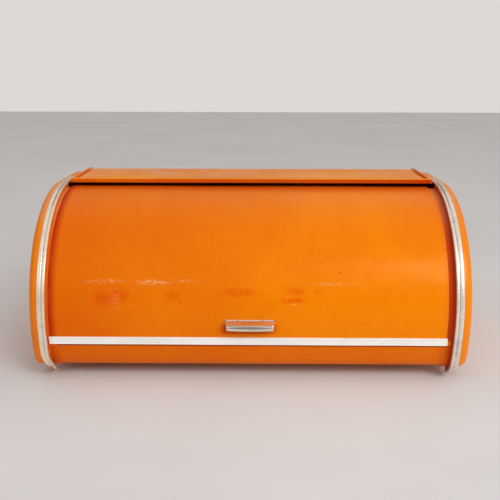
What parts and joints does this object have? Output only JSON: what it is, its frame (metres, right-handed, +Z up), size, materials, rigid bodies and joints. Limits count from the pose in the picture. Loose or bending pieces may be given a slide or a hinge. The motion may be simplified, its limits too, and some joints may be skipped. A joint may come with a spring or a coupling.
{
  "type": "bread box with roll top",
  "caption": "Wide D-shaped sheet-metal bread box on feet, with a rigid curved front door that rolls up under a flat top; holds loaves.",
  "frame": {"origin": "on the table, under the middle of the whole box", "axes": "+X along the width to the box's right as seen from the front, -Y out of the front, +Z up"},
  "size_m": [0.423, 0.2504, 0.1825],
  "materials": {
    "orange_enamel": "glossy enamel with light wear",
    "trim_aluminium": "satin, lightly scuffed",
    "white_strip": "pale satin anodised",
    "chrome": "polished",
    "plated_steel": "zinc plated",
    "white_plastic": "moulded",
    "black_rubber": "matt"
  },
  "bodies": {
    "box": {"end_cap_left": "orange_enamel", "end_cap_right": "orange_enamel", "top_shell": "orange_enamel", "floor_panel": "orange_enamel", "front_panel": "orange_enamel", "trim_left": "trim_aluminium", "trim_right": "trim_aluminium", "floor_rivets": "plated_steel", "front_rivets": "plated_steel", "rear_rivets": "plated_steel", "seam_rivets_left": "plated_steel", "seam_rivets_right": "plated_steel", "pivot_stud_left": "plated_steel", "pivot_stud_right": "plated_steel", "pivot_clip_left": "plated_steel", "pivot_clip_right": "plated_steel", "foot_screws": "plated_steel", "foot_nuts": "plated_steel", "foot_front_left": "black_rubber", "foot_front_right": "black_rubber", "foot_rear_left": "black_rubber", "foot_rear_right": "black_rubber"},
    "door": {"roll_door": "orange_enamel", "door_strip": "white_strip", "handle": "chrome", "handle_rivets": "plated_steel", "door_arm_left": "orange_enamel", "door_arm_right": "orange_enamel", "pivot_bush_left": "white_plastic", "pivot_bush_right": "white_plastic"}
  },
  "joints": [
    {"name": "door_roll", "type": "hinge", "parent": "box", "child": "door", "pos_m": [0, -0.00105, 0.057], "axis": [-1, 0, 0], "range_deg": [0, 85]}
  ]
}
